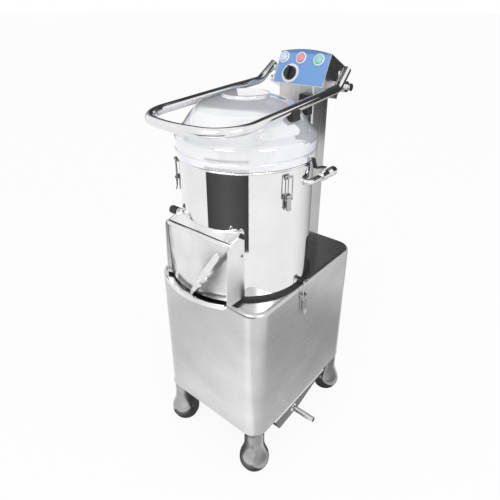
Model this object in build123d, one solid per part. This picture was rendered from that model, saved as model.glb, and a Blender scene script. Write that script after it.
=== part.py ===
from build123d import *
from math import cos, radians, sin, sqrt
import os

# Floor-standing potato peeler: a steel cabinet on four cast legs carries an upright peeling drum
# with an abrasive turning disc, a clear lid on a tubular hoop, a control box on a rear column,
# a discharge chute with a hinged door, a water inlet and a peel tray under the cabinet.
# The floor is Z = 0, the drum's axis is the Z axis, and the chute faces -Y.

# Driving dimensions
leg_height = 161.5
cabinet_width = 404.0
cabinet_height = 466.0
cabinet_corner_r = 52.0
sheet = 2.0
shell_height = 307.0
ring_height = 65.0
gasket_height = 5.5
lid_height = 153.2
hoop_tube_r = 12.5
chute_height = 200.0
chute_half_width = 118.0
column_half_width = 63.0
column_depth = 92.0
box_half_width = 90.0
box_face_height = 100.0
box_depth = 102.0

# How far the main pieces stand off one another, seen from above
drum_side_margin = 12.0
drum_front_margin = 7.5
lid_overhang = 7.0
magnet_reach = 6.0
sensor_gap = 8.0
sensor_deep = 25.0
column_rear_margin = 4.5

# Clearances and one overrun for every through cut
gap = 0.3
running = 0.05
overrun = 20.0

# Levels and places that follow from them
cabinet_bottom_z = leg_height
cabinet_top_z = cabinet_bottom_z + cabinet_height
drum_bottom_z = cabinet_top_z + gasket_height
seam_z = drum_bottom_z + shell_height
rim_z = seam_z + ring_height
cabinet_half = cabinet_width / 2
drum_r = cabinet_half - drum_side_margin
drum_inner_r = drum_r - sheet
lid_outer_r = drum_r + lid_overhang
magnet_rear_y = lid_outer_r + magnet_reach
column_front_y = magnet_rear_y + sensor_gap + sensor_deep
column_rear_y = column_front_y + column_depth
cabinet_rear_y = column_rear_y + column_rear_margin
cabinet_front = drum_r + drum_front_margin
cabinet_depth = cabinet_front + cabinet_rear_y
cabinet_mid_y = cabinet_rear_y - cabinet_depth / 2


def tube(outer_r, inner_r, bottom, top):
    """Upright round tube about the drum's axis."""
    wall = Circle(outer_r) - Circle(inner_r)
    return Pos(0, 0, bottom) * extrude(wall, top - bottom)


def disc(radius, bottom, top):
    """Upright round bar about the drum's axis."""
    return Pos(0, 0, bottom) * extrude(Circle(radius), top - bottom)


def block(x, y, z):
    """Box given by its low and high place along each axis."""
    size = Box(x[1] - x[0], y[1] - y[0], z[1] - z[0], align=(Align.MIN, Align.MIN, Align.MIN))
    return Pos(x[0], y[0], z[0]) * size


def turned(outline):
    """Solid turned about the Z axis from a closed line of (radius, height) points."""
    return revolve(Plane.XZ * make_face(Polyline(*outline, close=True)), Axis.Z)


def bar_along_x(radius, y, z, start, end):
    """Round bar along X."""
    return Plane(origin=(start, y, z), x_dir=(0, 1, 0), z_dir=(1, 0, 0)) * extrude(Circle(radius), end - start)


def bar_along_y(radius, x, z, start, end):
    """Round bar along Y."""
    return Plane(origin=(x, start, z), x_dir=(1, 0, 0), z_dir=(0, 1, 0)) * extrude(Circle(radius), end - start)


def side_plate(outline, start, end):
    """Flat plate across X, cut to a face drawn in Y and Z."""
    plane = Plane(origin=(start, 0, 0), x_dir=(0, 1, 0), z_dir=(1, 0, 0))
    return plane * extrude(outline, end - start)


def mirrored_pair(shape):
    """A piece and its twin on the other side of the YZ plane."""
    return Compound(children=[shape, mirror(shape, Plane.YZ)])


# Cabinet: one bent steel cover with a turned-in lower edge, and a pan that closes it below
top_bend_r = 12.0
lower_edge_width = 15.0
boss_r = 28.0
duct_r = 30.0
duct_wall_margin = 72.0
duct_x = duct_wall_margin - drum_r
duct_y = -62.0
duct_wall = 2.0
duct_drop = 4.0


def cabinet_slab(inset, bottom, top):
    """Upright slab with the cabinet's plan, drawn in by the inset."""
    plan = RectangleRounded(cabinet_width - 2 * inset, cabinet_depth - 2 * inset, cabinet_corner_r - inset)
    return Pos(0, cabinet_mid_y, bottom) * extrude(plan, top - bottom)


def base_cabinet():
    cover = cabinet_slab(0, cabinet_bottom_z, cabinet_top_z)
    cover = fillet(cover.faces().sort_by(Axis.Z)[-1].edges(), top_bend_r)
    hollow = cabinet_slab(sheet, cabinet_bottom_z + sheet, cabinet_top_z - sheet)
    hollow = fillet(hollow.faces().sort_by(Axis.Z)[-1].edges(), top_bend_r - sheet)
    mouth = cabinet_slab(lower_edge_width, cabinet_bottom_z - overrun, cabinet_bottom_z + overrun)
    boss_hole = disc(boss_r + gap, cabinet_top_z - overrun, cabinet_top_z + overrun)
    duct_hole = Pos(duct_x, duct_y) * disc(duct_r + gap, cabinet_top_z - overrun, cabinet_top_z + overrun)
    entry = rear_plate(gland_x, gland_z, entry_half, cabinet_rear_y - overrun, cabinet_rear_y + overrun)
    cable_way = block((-cable_way_half, cable_way_half),
                      (column_front_y + cable_way_inset, column_rear_y - cable_way_inset),
                      (cabinet_top_z - overrun, cabinet_top_z + overrun))
    return cover - hollow - mouth - boss_hole - duct_hole - entry - cable_way


def bottom_pan():
    bottom = cabinet_bottom_z + sheet
    plate = cabinet_slab(sheet + gap, bottom, bottom + sheet)
    return plate - Pos(duct_x, duct_y) * disc(duct_r + gap, bottom - overrun, bottom + overrun)


def waste_duct():
    """Straight pipe that drops water and peel from the drum's floor to the tray."""
    return Pos(duct_x, duct_y) * tube(duct_r, duct_r - duct_wall, cabinet_bottom_z - duct_drop,
                                      drum_bottom_z + drum_floor)


# Legs: cast bulb feet on rubber pads
leg_inset = 38.6
leg_bulb_r = 45.7
leg_flange_r = 32.0
leg_flange = 5.0
pad_height = 4.0
pad_r = 40.0
leg_curve_share = [(0.934, 0.0), (0.985, 0.10), (1.0, 0.27), (0.90, 0.44), (0.72, 0.63), (0.625, 0.82),
                   (0.613, 1.0)]


def each_leg(piece):
    """The same piece at the four corners."""
    side_x = cabinet_half - leg_inset
    places = [(x, y) for x in (-side_x, side_x) for y in (leg_inset - cabinet_front, cabinet_rear_y - leg_inset)]
    return Compound(children=[Pos(x, y) * piece for x, y in places])


def legs():
    neck_top = leg_height - leg_flange
    rise = neck_top - pad_height
    curve = [(leg_bulb_r * r, pad_height + rise * z) for r, z in leg_curve_share]
    side = Spline(*curve)
    rest = Polyline(curve[-1], (leg_flange_r, neck_top), (leg_flange_r, leg_height), (0, leg_height),
                    (0, pad_height), curve[0])
    return each_leg(revolve(Plane.XZ * make_face([side, *rest.edges()]), Axis.Z))


def foot_pads():
    return each_leg(disc(pad_r, 0, pad_height))


# Peeling drum: gasket, shell with the discharge window, clamped top ring, abrasive liner
gasket_outside = 10.0
gasket_inside = 14.0
drum_floor = 3.0
window_cheek_margin = 18.0
window_low = 27.0
window_high = 182.0
liner_wall = 3.0
liner_low = 57.0
liner_top_drop = 12.0
spigot_depth = 9.0
spigot_wall = 1.5
rim_bead_r = 4.0
inlet_y = 13.0
inlet_above_seam = 10.5
pipe_r = 8.5
pipe_wall = 2.0


def window_cut():
    """Opening in the drum's front wall, behind the chute."""
    window_half = chute_half_width - window_cheek_margin
    return block((-window_half, window_half), (-drum_r - overrun, -drum_r / 2),
                 (drum_bottom_z + window_low, drum_bottom_z + window_high))


def seat_gasket():
    return tube(drum_r + gasket_outside, drum_r - gasket_inside, cabinet_top_z, drum_bottom_z)


def drum_shell():
    wall = tube(drum_r, drum_inner_r, drum_bottom_z, seam_z)
    floor = tube(drum_r, boss_r + gap, drum_bottom_z, drum_bottom_z + drum_floor)
    duct_hole = Pos(duct_x, duct_y) * disc(duct_r + gap, drum_bottom_z - overrun, drum_bottom_z + overrun)
    return wall + floor - duct_hole - window_cut()


def drum_top_ring():
    spigot_r = drum_inner_r - gap
    neck = [(spigot_r - spigot_wall, seam_z - spigot_depth), (spigot_r, seam_z - spigot_depth),
            (spigot_r, seam_z), (drum_r, seam_z), (drum_r, rim_z), (spigot_r - spigot_wall, rim_z)]
    ring = turned(neck)
    bead = Pos(drum_r, 0, rim_z - rim_bead_r) * Rot(90, 0, 0) * Circle(rim_bead_r)
    ring += revolve(bead, Axis.Z)
    inlet = bar_along_x(pipe_r + gap, inlet_y, seam_z + inlet_above_seam, drum_r / 2, drum_r + overrun)
    return ring - inlet


def abrasive_liner():
    outer_r = drum_inner_r - gap
    lining = tube(outer_r, outer_r - liner_wall, drum_bottom_z + liner_low,
                  seam_z - spigot_depth - liner_top_drop)
    return lining - window_cut()


# Turning disc and its drive inside the cabinet
shaft_r = 12.5
disc_side_gap = 9.0
disc_low = 19.0
disc_plate = 9.0
disc_rim_rise = 6.0
ridge_count = 4
ridge_r = 7.0
ridge_start = 45.0
ridge_rim_margin = 14.0
hub_r = 24.0
cap_r = 15.0
cap_rise = 16.0
boss_above_floor = 8.0
flange_r = 60.0
flange_thick = 8.0
housing_drop = 40.0
bearing_r = 20.0
bearing_height = 12.0
housing_bore_r = 15.0
pulley_face = 18.0
groove_depth = 7.0
groove_half = 5.0
driven_r = 72.0
motor_pulley_r = 30.0
motor_y = 205.0
motor_shaft_r = 9.5
pulley_below_top = 62.0
belt_thick = 6.0
belt_half = 4.0

disc_r = drum_inner_r - disc_side_gap
disc_z = drum_bottom_z + disc_low
boss_top_z = drum_bottom_z + boss_above_floor
flange_top_z = cabinet_top_z - sheet
housing_low_z = flange_top_z - housing_drop
pulley_top_z = cabinet_top_z - pulley_below_top
pulley_low_z = pulley_top_z - pulley_face
pulley_mid_z = (pulley_top_z + pulley_low_z) / 2


def abrasive_disc():
    plate = disc(disc_r, disc_z, disc_z + disc_plate)
    rim = tube(disc_r, disc_r - disc_rim_rise, disc_z, disc_z + disc_plate + disc_rim_rise)
    hub = disc(hub_r, boss_top_z + gap, disc_z + disc_plate + disc_rim_rise)
    body = plate + rim + hub
    for turn in range(ridge_count):
        ridge = bar_along_x(ridge_r, 0, disc_z + disc_plate, ridge_start, disc_r - ridge_rim_margin)
        body += Rot(0, 0, 360 * turn / ridge_count) * ridge
    return body - disc(shaft_r + running, disc_z - overrun, disc_z + overrun * 2)


def main_shaft():
    """Upright shaft with the domed cap nut that holds the disc."""
    nut_low = disc_z + disc_plate + disc_rim_rise
    shaft = disc(shaft_r, pulley_low_z, nut_low)
    nut = turned([(0, nut_low), (cap_r, nut_low), (cap_r, nut_low + cap_rise / 2),
                  (cap_r / 2, nut_low + cap_rise), (0, nut_low + cap_rise)])
    return shaft + nut


def bearing_housing():
    flange = disc(flange_r, flange_top_z - flange_thick, flange_top_z)
    boss = disc(boss_r, housing_low_z, boss_top_z)
    housing = flange + boss - disc(housing_bore_r, housing_low_z - overrun, boss_top_z + overrun)
    for low in (housing_low_z, boss_top_z - bearing_height):
        housing -= disc(bearing_r, low, low + bearing_height)
    return housing


def shaft_bearings():
    rows = [tube(bearing_r, shaft_r + running, low, low + bearing_height)
            for low in (housing_low_z, boss_top_z - bearing_height)]
    return Compound(children=rows)


def pulley(outer_r, bore_r):
    """Grooved belt pulley, centred on its own shaft."""
    slope = groove_depth / 2
    rim = [(bore_r, pulley_low_z), (outer_r, pulley_low_z), (outer_r, pulley_mid_z - groove_half - slope / 2),
           (outer_r - groove_depth, pulley_mid_z - groove_half), (outer_r - groove_depth, pulley_mid_z + groove_half),
           (outer_r, pulley_mid_z + groove_half + slope / 2), (outer_r, pulley_top_z), (bore_r, pulley_top_z)]
    return turned(rim)


def belt_loop(allowance):
    """Flat outline round both pulleys."""
    large = Circle(driven_r - groove_depth + allowance)
    small = Pos(0, motor_y) * Circle(motor_pulley_r - groove_depth + allowance)
    return make_hull([*large.edges(), *small.edges()])


def drive_belt():
    band = belt_loop(gap + belt_thick) - belt_loop(gap)
    return Pos(0, 0, pulley_mid_z - belt_half) * extrude(band, 2 * belt_half)


motor_r = 62.0
motor_length = 190.0
motor_end_r = 48.0
motor_plate_thick = 6.0
motor_plate_half = 105.0
motor_plate_reach = (73.0, 80.0)
motor_post_r = 6.0
motor_post_inset = 12.0
motor_plate_drop = 8.0
fin_count = 12
fin_rise = 5.0
fin_half = 2.0

motor_plate_y = (motor_y - motor_plate_reach[0], motor_y + motor_plate_reach[1])
motor_plate_top_z = pulley_low_z - motor_plate_drop
motor_top_z = motor_plate_top_z - motor_plate_thick


def motor():
    """Finned upright motor hung below its plate."""
    low = motor_top_z - motor_length
    body = disc(motor_r, low + motor_end_r / 2, motor_top_z) + disc(motor_end_r, low, motor_top_z)
    for turn in range(fin_count):
        fin = block((motor_r - fin_rise, motor_r + fin_rise), (-fin_half, fin_half),
                    (low + motor_end_r, motor_top_z - motor_end_r / 2))
        body += Rot(0, 0, 360 * turn / fin_count) * fin
    shaft_hole = disc(motor_shaft_r + running, motor_top_z - motor_end_r / 2, motor_top_z + overrun)
    return Pos(0, motor_y) * (body - shaft_hole)


def motor_plate():
    """Plate hung from the cabinet's top on four posts."""
    plate = block((-motor_plate_half, motor_plate_half), motor_plate_y, (motor_top_z, motor_plate_top_z))
    for x in (-motor_plate_half + motor_post_inset, motor_plate_half - motor_post_inset):
        for y in (motor_plate_y[0] + motor_post_inset, motor_plate_y[1] - motor_post_inset):
            plate += Pos(x, y) * disc(motor_post_r, motor_top_z, cabinet_top_z - sheet)
    return plate - Pos(0, motor_y) * disc(motor_shaft_r * 2, motor_top_z - overrun, motor_top_z + overrun)


def motor_pulley():
    """Small pulley with the motor's shaft end."""
    shaft = disc(motor_shaft_r, motor_top_z - motor_end_r / 2 + gap, pulley_top_z)
    return Pos(0, motor_y) * (pulley(motor_pulley_r, motor_shaft_r) + shaft)


# Lid: clear one-piece collar and dome, with the hoop that lifts it
lid_wall = 3.0
lid_curve_share = [(0.985, 0.0), (1.0, 0.36), (0.881, 0.481), (0.832, 0.592), (0.675, 0.84), (0.35, 0.958),
                   (0.335, 1.0)]
lid_bends = [8.0, 10.0, 30.0, 15.0, 3.0, 3.0]
lid_low_z = rim_z + gap
hoop_front_reach = 40.0
hoop_bulge = 25.0
hoop_front_inset = 40.0
hoop_rear_spread = 8.0
hoop_rear_ahead = 71.0
hoop_end_ahead = 9.0
hoop_box_gap = 29.5
hoop_front_rise = 112.0
hoop_rear_rise = 4.0
hoop_end_rise = 50.0
hoop_corner_r = 95.0
hoop_bulge_r = 300.0
hoop_rear_bend_r = 60.0
pivot_rim_rise = 145.0
pivot_rear_margin = 18.0
hoop_wall = 1.5
saddle_half_length = 16.0
saddle_half_width = 10.0
saddle_drop = 26.0

pivot_y = column_rear_y - pivot_rear_margin
pivot_z = rim_z + pivot_rim_rise
hoop_end_half = box_half_width + hoop_box_gap + hoop_tube_r
hoop_end_y = pivot_y - hoop_end_ahead
hoop_end_z = pivot_z + hoop_end_rise
hoop_rear_half = hoop_end_half + hoop_rear_spread
hoop_rear_y = pivot_y - hoop_rear_ahead
hoop_rear_z = pivot_z + hoop_rear_rise
hoop_front_half = lid_outer_r - hoop_front_inset
hoop_front_y = -lid_outer_r - hoop_front_reach
hoop_front_z = rim_z + hoop_front_rise


def lid_side(inset):
    """Solid inside the lid's outer form, drawn in by an inset and open downwards where it is."""
    right = [(lid_outer_r * r, lid_low_z + lid_height * z) for r, z in lid_curve_share]
    left = [(-r, z) for r, z in reversed(right)]
    bends = lid_bends + lid_bends[::-1]
    crown = FilletPolyline(*right, *left, radius=bends)
    section = make_face([*crown.edges(), Line(crown @ 1, crown @ 0)])
    if inset:
        section = offset(section, -inset)
        section += Pos(0, -2 * inset) * section
    half = section & Pos(lid_outer_r, rim_z) * Rectangle(2 * lid_outer_r, 2 * lid_outer_r)
    return revolve(Plane.XZ * half, Axis.Z)


def lid_dome():
    return lid_side(0) - lid_side(lid_wall)


def hoop_line():
    """Centre line of the hoop, level across the front and rising to the rear ends."""
    half = [(hoop_front_half, hoop_front_y, hoop_front_z), (hoop_rear_half, hoop_rear_y, hoop_rear_z),
            (hoop_end_half, hoop_end_y, hoop_end_z)]
    middle = (0, hoop_front_y - hoop_bulge, hoop_front_z)
    left = [(-x, y, z) for x, y, z in reversed(half)]
    bends = [hoop_rear_bend_r, hoop_corner_r, hoop_bulge_r, hoop_corner_r, hoop_rear_bend_r]
    return FilletPolyline(*left, middle, *half, radius=bends)


def hoop_body(radius):
    line = hoop_line()
    start = Plane(origin=line @ 0, z_dir=line % 0)
    return sweep(start * Circle(radius), path=line)


def lid_hoop():
    return hoop_body(hoop_tube_r) - hoop_body(hoop_tube_r - hoop_wall)


def hoop_saddles():
    """Blocks that join the hoop to the dome's shoulders."""
    centre_x = hoop_rear_half + (hoop_front_half - hoop_rear_half) / 2 + hoop_tube_r / 2
    top = (hoop_front_z + hoop_rear_z) / 2
    pad = block((centre_x - saddle_half_width, centre_x + saddle_half_width),
                (-saddle_half_length, saddle_half_length), (top - saddle_drop, top))
    pad = pad - lid_side(0) - hoop_body(hoop_tube_r)
    return mirrored_pair(pad.solids().sort_by(SortBy.VOLUME)[-1])


# Rear column and the tilted control box on it
column_corner_r = 6.0
cable_way_half = 40.0
cable_way_inset = 20.0
box_setback = 2.0
box_pivot_rise = 2.0
box_tilt = 26.3
box_arch = 10.0
box_edge_r = 4.0
pivot_r = 8.0
pivot_beyond_hoop = 15.0
pivot_collar_r = 13.0
pivot_head_r = 11.0
pivot_head = 6.0
plate_thick = 5.0
plate_boss_r = 16.0
plate_top_r = 12.0
gland_r = 12.0
gland_length = 18.0
gland_bore_r = 5.0
gland_x = -110.0
gland_rise = 78.5
cover_thick = 1.5
cover_half = 36.0
cover_corner_r = 5.0
entry_half = 26.0

gland_z = cabinet_bottom_z + gland_rise
pivot_tip_x = hoop_end_half + pivot_beyond_hoop
box_low_z = pivot_z + box_pivot_rise
box_face = Plane(origin=(0, column_front_y + box_setback, box_low_z), x_dir=(1, 0, 0),
                 z_dir=(0, -cos(radians(box_tilt)), sin(radians(box_tilt))))


def box_outline(inset, arch):
    """Face outline with an arched top, in the tilted face's own plane."""
    half = box_half_width - inset
    top = box_face_height - inset
    crown = ThreePointArc((half, top), (0, top + arch), (-half, top))
    sides = Polyline((-half, top), (-half, inset), (half, inset), (half, top))
    return make_face([crown, *sides.edges()])


def control_box():
    """Sheet box with a cable way down into the column."""
    body = box_face * extrude(box_outline(0, box_arch), -box_depth)
    body = fillet(body.edges().filter_by(Axis.X, reverse=True).group_by(SortBy.LENGTH)[-1], box_edge_r)
    inside = box_face * (Pos(0, 0, -sheet) * extrude(box_outline(sheet, box_arch), 2 * sheet - box_depth))
    cable_way = box_face * block((-cable_way_half, cable_way_half), (-overrun, overrun),
                                 (cable_way_inset - box_depth, -cable_way_inset))
    return body - inside - cable_way


def control_column():
    """Square tube, cut off at a slant under the box."""
    plan = RectangleRounded(2 * column_half_width, column_depth, column_corner_r)
    plan -= RectangleRounded(2 * column_half_width - 2 * sheet, column_depth - 2 * sheet, column_corner_r - sheet)
    middle_y = (column_front_y + column_rear_y) / 2
    shaft = Pos(0, middle_y, cabinet_top_z) * extrude(plan, box_low_z + overrun - cabinet_top_z)
    reach = box_depth * 2
    above = box_face * block((-reach, reach), (0, reach), (-reach, reach))
    return shaft - above


def rear_plate(x, z, half, start, end):
    """Square plate with rounded corners, upright across Y."""
    face = Plane(origin=(x, start, z), x_dir=(1, 0, 0), z_dir=(0, 1, 0))
    return face * extrude(RectangleRounded(2 * half, 2 * half, cover_corner_r), end - start)


def entry_cover():
    """Cover over the supply cable's entry, with its gland."""
    body = rear_plate(gland_x, gland_z, cover_half, cabinet_rear_y, cabinet_rear_y + cover_thick)
    body += bar_along_y(gland_r, gland_x, gland_z, cabinet_rear_y, cabinet_rear_y + gland_length)
    return body - bar_along_y(gland_bore_r, gland_x, gland_z, cabinet_rear_y - overrun,
                              cabinet_rear_y + overrun * 2)


def pivot_pins():
    """Headed pins on the control box that carry the hoop's plates."""
    collar_end = hoop_end_half - hoop_tube_r - plate_thick - gap
    pin = bar_along_x(pivot_r, pivot_y, pivot_z, box_half_width, pivot_tip_x)
    pin += bar_along_x(pivot_collar_r, pivot_y, pivot_z, box_half_width, collar_end)
    pin += bar_along_x(pivot_head_r, pivot_y, pivot_z, pivot_tip_x - pivot_head, pivot_tip_x)
    return mirrored_pair(pin)


def hinge_plates():
    """Plates from the hoop's ends down to the pivot pins."""
    outer = hoop_end_half - hoop_tube_r
    low = Pos(pivot_y, pivot_z) * Circle(plate_boss_r)
    high = Pos(hoop_end_y - plate_top_r / 2, hoop_end_z - plate_top_r) * Circle(plate_top_r)
    outline = make_hull([*low.edges(), *high.edges()])
    plate = side_plate(outline, outer - plate_thick, outer)
    plate += bar_along_x(plate_boss_r, pivot_y, pivot_z, outer - plate_thick, hoop_end_half)
    return mirrored_pair(plate - bar_along_x(pivot_r + running, pivot_y, pivot_z, 0, pivot_tip_x))


# Lid safety sensor on the column and its magnet on the lid
sensor_x = (28.0, 64.0)
sensor_z = (rim_z + 67.0, rim_z + 127.0)
sensor_edge_r = 3.0
magnet_x = (30.0, 62.0)
magnet_z = (rim_z + 29.0, rim_z + 51.0)


def lid_sensor():
    body = block(sensor_x, (column_front_y - sensor_deep, column_front_y), sensor_z)
    return fillet(body.edges().filter_by(Axis.Z), sensor_edge_r)


def lid_magnet():
    body = block(magnet_x, (lid_outer_r / 2, magnet_rear_y), magnet_z)
    return body - lid_side(0)


# Control panel: blue plate, timer and three buttons, placed on the face as (across, up)
panel_thick = 1.5
panel_inset = 3.0
button_places = {"left": (-70.0, 79.0), "middle": (-9.0, 80.0), "right": (54.0, 79.0)}
button_r = 13.0
bezel_r = 18.5
bezel_height = 5.0
button_rise = 9.0
button_travel = 3.0
button_edge = 1.5
timer_place = (-33.0, 32.0)
dial_r = 29.5
dial_thick = 1.5
knob_r = 21.5
knob_height = 20.0
knob_spindle_r = 3.0
knob_grip_half = 4.0
knob_base = 8.0


def on_face(place, shape):
    """A piece modelled about its own Z axis, set on the panel at a face place."""
    return box_face * (Pos(place[0], place[1], panel_thick) * shape)


def control_panel():
    return box_face * extrude(box_outline(panel_inset, box_arch), panel_thick)


def button_bezels():
    ring = tube(bezel_r, button_r + gap, 0, bezel_height)
    ring = chamfer(ring.edges().filter_by(GeomType.CIRCLE).sort_by(Axis.Z)[-2:], button_edge)
    return Compound(children=[on_face(place, ring) for place in button_places.values()])


def push_button(side):
    cap = disc(button_r, button_travel + gap, button_rise)
    cap = chamfer(cap.edges().sort_by(Axis.Z)[-1], button_edge)
    return on_face(button_places[side], cap)


def timer_dial():
    ring = tube(dial_r, knob_spindle_r + gap, 0, dial_thick)
    spindle = disc(knob_spindle_r - running, 0, knob_base)
    return on_face(timer_place, Compound(children=[ring, spindle]))


def timer_knob():
    """Skirted knob with a raised grip bar."""
    low = dial_thick + gap
    skirt = Cone(knob_r, knob_r - knob_grip_half / 2, knob_base, align=(Align.CENTER, Align.CENTER, Align.MIN))
    grip = block((-knob_grip_half, knob_grip_half), (-knob_r + knob_grip_half, knob_r - knob_grip_half),
                 (knob_base / 2, knob_height - low))
    body = Pos(0, 0, low) * (skirt + grip)
    return on_face(timer_place, body - disc(knob_spindle_r, 0, knob_base + gap))


# Discharge chute: cheeks, ruled roof and a floor with a raised lip, in front of the drum's window
cheek_thick = 2.5
chute_bottom_gap = 7.0
cheek_reach = 32.0
floor_thick = 2.0
floor_reach = 69.0
lip_height = 15.0
roof_reach = 7.0
roof_fall = 16.0
rod_reach = 16.0
rod_fall = 21.0
rod_r = 3.0
rod_head_r = 6.0
rod_head = 4.0
cheek_corner_r = 9.0
knob_stem_r = 4.0
clamp_knob_r = 12.0
clamp_knob_length = 34.0
clamp_nut_r = 7.0
clamp_nut_length = 12.0
clamp_ahead = 11.0
clamp_ear_r = 12.0
clamp_fall = 5.5


def front_arc_y(radius, x):
    """Place of a circle's front side at a distance across."""
    return -sqrt(radius ** 2 - x ** 2)


cheek_inner = chute_half_width - cheek_thick
cheek_rear_y = front_arc_y(drum_r, chute_half_width)
chute_low_z = drum_bottom_z + chute_bottom_gap
chute_top_z = chute_low_z + chute_height
chute_front_y = -drum_r - cheek_reach
floor_r = drum_r + floor_reach
lip_top_z = chute_low_z + lip_height
roof_front_y = -drum_r - roof_reach
rod_y = -drum_r - rod_reach
rod_z = chute_top_z - rod_fall
clamp_y = cheek_rear_y - clamp_ahead
clamp_z = chute_top_z - clamp_fall


def curved_strip(radius, half, thick, z):
    """Face between two arcs, its ends cut square across."""
    arcs = ThreePointArc((-half, front_arc_y(radius, half)), (0, -radius), (half, front_arc_y(radius, half)))
    outer = radius + thick
    back = ThreePointArc((half, front_arc_y(outer, half)), (0, -outer), (-half, front_arc_y(outer, half)))
    ends = [Line(arcs @ 1, back @ 0), Line(back @ 1, arcs @ 0)]
    return Pos(0, 0, z) * make_face([arcs, back, *ends])


def straight_strip(y, half, thick, z):
    """Thin rectangle across, with its front edge a wall's thickness ahead of its rear edge."""
    outline = Polyline((-half, y), (half, y), (half, y - thick), (-half, y - thick), close=True)
    return Pos(0, 0, z) * make_face(outline)


def ruled_sheet(low_face, high_face):
    """Sheet that runs straight from one strip to the other."""
    return loft([low_face, high_face], ruled=True)


def chute_housing():
    corner = (rod_y - cheek_corner_r, rod_z + cheek_corner_r / 2)
    outline = Polyline((cheek_rear_y / 2, chute_low_z), (chute_front_y, chute_low_z), corner,
                       (cheek_rear_y, chute_top_z), (cheek_rear_y / 2, chute_top_z), close=True)
    face = make_face(outline)
    face = fillet(face.vertices().sort_by_distance(Vertex(*corner))[0], cheek_corner_r)
    face += Pos(clamp_y, clamp_z) * Circle(clamp_ear_r)
    cheek = side_plate(face, cheek_inner, chute_half_width)
    cheek -= bar_along_x(knob_stem_r, clamp_y, clamp_z, cheek_inner, chute_half_width)
    floor = curved_strip(drum_r - floor_thick, cheek_inner, floor_r - drum_r + floor_thick, 0)
    floor = Pos(0, 0, chute_low_z) * extrude(floor, floor_thick)
    lip = Pos(0, 0, chute_low_z) * extrude(curved_strip(floor_r - floor_thick, cheek_inner, floor_thick, 0),
                                           lip_top_z - chute_low_z)
    roof = ruled_sheet(straight_strip(roof_front_y + floor_thick, cheek_inner, floor_thick,
                                      chute_top_z - roof_fall),
                       curved_strip(drum_r - floor_thick, cheek_inner, 2 * floor_thick, chute_top_z))
    body = cheek + mirror(cheek, Plane.YZ) + floor + lip + roof
    body -= bar_along_x(rod_r + running, rod_y, rod_z, -chute_half_width - overrun, chute_half_width + overrun)
    return body - disc(drum_r, chute_low_z - overrun, chute_top_z + overrun)


def chute_knobs():
    """Clamping knob on the left cheek and cap nut on the right one."""
    knob = bar_along_x(clamp_knob_r, clamp_y, clamp_z, -chute_half_width - clamp_knob_length, -chute_half_width)
    knob = fillet(knob.edges().filter_by(GeomType.CIRCLE), clamp_knob_r / 2)
    stems = [bar_along_x(knob_stem_r, clamp_y, clamp_z, start, start + cheek_thick)
             for start in (-chute_half_width, cheek_inner)]
    nut = bar_along_x(clamp_nut_r, clamp_y, clamp_z, chute_half_width, chute_half_width + clamp_nut_length)
    nut = fillet(nut.edges().filter_by(GeomType.CIRCLE).sort_by(Axis.X)[-1], clamp_nut_r / 2)
    return Compound(children=[knob + stems[0], nut + stems[1]])


def door_rod():
    rod = bar_along_x(rod_r, rod_y, rod_z, -chute_half_width - rod_head, chute_half_width + rod_head)
    for start in (-chute_half_width - rod_head, chute_half_width):
        rod += bar_along_x(rod_head_r, rod_y, rod_z, start, start + rod_head)
    return rod


# Discharge door: straight at its hinge and curved at its foot, with a turning lever
door_side_gap = 4.0
door_thick = 2.0
door_foot_rise = 12.0
door_foot_reach = 42.0
barrel_r = 5.5
barrel_end_gap = 1.0
hub_x = 38.0
hub_rise = 63.0
hub_outer_r = 13.0
post_r = 9.0
pin_r = 5.0
lever_reach = 52.5
lever_thick = 5.0
washer_thick = 2.5
grip_arm = (70.0, 105.0)
grip_tip_r = 8.0
grip_root_r = 9.0
tail_arm = (-29.0, -44.4)
tail_tip_r = 5.0
keeper_x = (-21.0, 27.0)
keeper_reach = 58.0
keeper_rise = 12.5

door_half = chute_half_width - door_side_gap
door_low_r = drum_r + door_foot_reach
door_low_z = chute_low_z + door_foot_rise
hub_z = chute_low_z + hub_rise
lever_rear_y = -drum_r - lever_reach
lever_front_y = lever_rear_y - lever_thick


def chute_door():
    """Ruled door panel with its hinge barrel and the lever's pivot post."""
    panel = ruled_sheet(curved_strip(door_low_r, door_half, door_thick, door_low_z),
                        straight_strip(rod_y + door_thick / 2, door_half, door_thick, rod_z - barrel_r / 2))
    panel += bar_along_x(barrel_r, rod_y, rod_z, -door_half + barrel_end_gap, door_half - barrel_end_gap)
    post = bar_along_y(post_r, hub_x, hub_z, lever_rear_y + gap, -drum_r)
    behind = ruled_sheet(curved_strip(drum_r, door_half, door_low_r - drum_r, door_low_z),
                         straight_strip(-drum_r, door_half, -drum_r - rod_y, rod_z - barrel_r / 2))
    pin = bar_along_y(pin_r, hub_x, hub_z, lever_front_y - gap - washer_thick, lever_rear_y + gap)
    head = bar_along_y(post_r, hub_x, hub_z, lever_front_y - gap - washer_thick, lever_front_y - gap)
    door = panel + (post - behind) + pin + head
    return door - bar_along_x(rod_r + running, rod_y, rod_z, -chute_half_width, chute_half_width)


def door_lever():
    """Turning lever: a long grip arm and a short tail that turns down behind the keeper."""
    def arm(tip, tip_r):
        end = Pos(*tip) * Circle(tip_r)
        return make_hull([*Circle(grip_root_r).edges(), *end.edges()])

    outline = arm(grip_arm, grip_tip_r) + arm(tail_arm, tail_tip_r)
    outline = outline + Circle(hub_outer_r) - Circle(pin_r + running)
    front = Plane(origin=(hub_x, lever_rear_y, hub_z), x_dir=(1, 0, 0), z_dir=(0, -1, 0))
    return front * extrude(outline, lever_thick)


def lever_keeper():
    """Catch block inside the chute's lip."""
    body = block(keeper_x, (-floor_r, -drum_r - keeper_reach), (chute_low_z + floor_thick, chute_low_z + keeper_rise))
    return body & disc(floor_r - floor_thick, chute_low_z, lip_top_z)


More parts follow.
